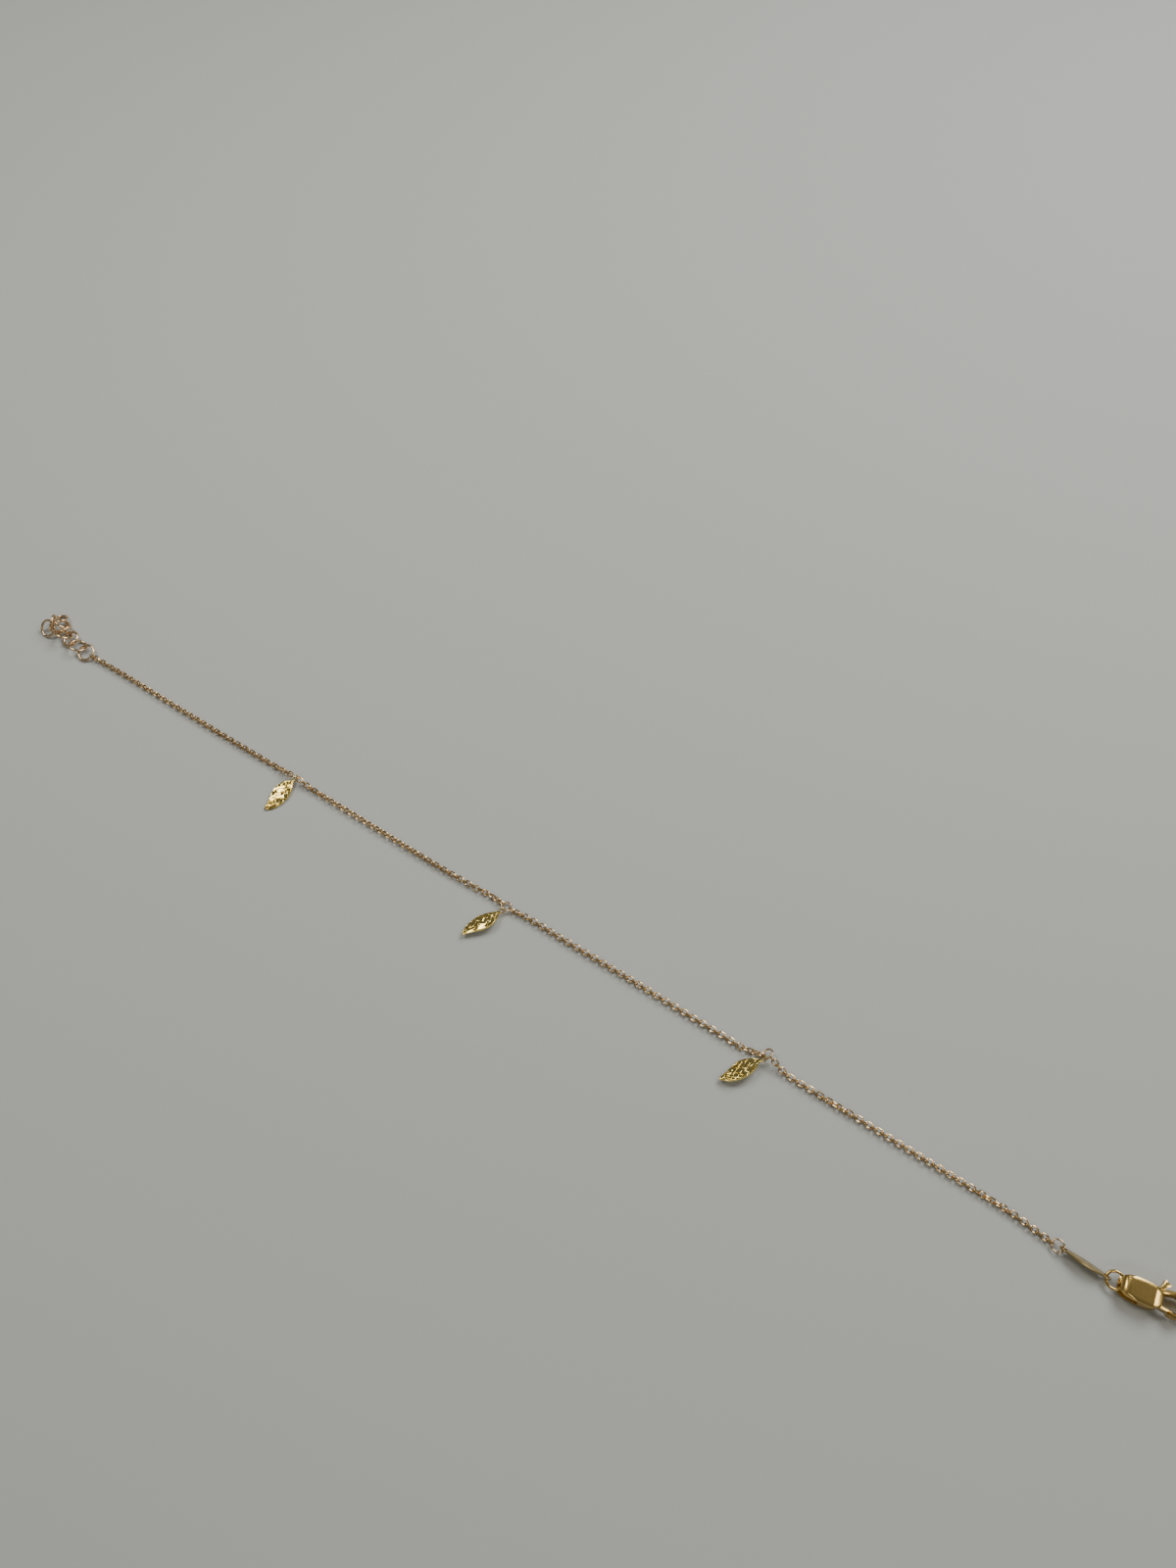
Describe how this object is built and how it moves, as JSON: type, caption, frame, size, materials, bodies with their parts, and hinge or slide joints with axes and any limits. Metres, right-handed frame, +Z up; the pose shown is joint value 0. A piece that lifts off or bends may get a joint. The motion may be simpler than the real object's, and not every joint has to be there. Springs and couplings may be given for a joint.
{
  "type": "chain anklet",
  "caption": "Fine cable-chain anklet with hanging leaf charms, a slim oval tag, a ring extender and a lobster clasp.",
  "frame": {"origin": "bottom centre of the bounding box, on the surface the anklet lies on", "axes": "+X along the chain from the extender to the clasp, +Y to the side the leaves don't hang on, +Z up from the surface"},
  "size_m": [0.2448, 0.0134, 0.0036],
  "materials": {
    "chain": "diamond-cut rosy yellow gold, bright",
    "ring": "polished yellow gold wire",
    "leaf": "diamond-cut yellow gold, bright facets",
    "tag": "satin yellow gold",
    "clasp": "polished yellow gold"
  },
  "bodies": {
    "anklet": {"chain_1": "chain", "chain_2": "chain", "chain_3": "chain", "chain_4": "chain", "extender_ring_1": "ring", "extender_ring_2": "ring", "extender_ring_3": "ring", "extender_ring_4": "ring", "extender_ring_5": "ring", "extender_ring_6": "ring", "extender_ring_7": "ring", "extender_ring_8": "ring", "extender_ring_9": "ring", "leaf_ring_1": "ring", "leaf_ring_2": "ring", "leaf_ring_3": "ring", "tag_ring": "ring", "clasp_ring": "ring", "leaf_1": "leaf", "leaf_2": "leaf", "leaf_3": "leaf", "tag": "tag", "clasp_body": "clasp", "clasp_pin": "clasp"},
    "lever": {"clasp_lever": "clasp"}
  },
  "joints": [
    {"name": "clasp_lever_pivot", "type": "hinge", "parent": "anklet", "child": "lever", "pos_m": [0.1168, 0.00227, 0.0015], "axis": [0, 0, 1], "range_deg": [0, 25], "stiffness_Nm_per_rad": 0.003, "springref_deg": -20.05}
  ]
}
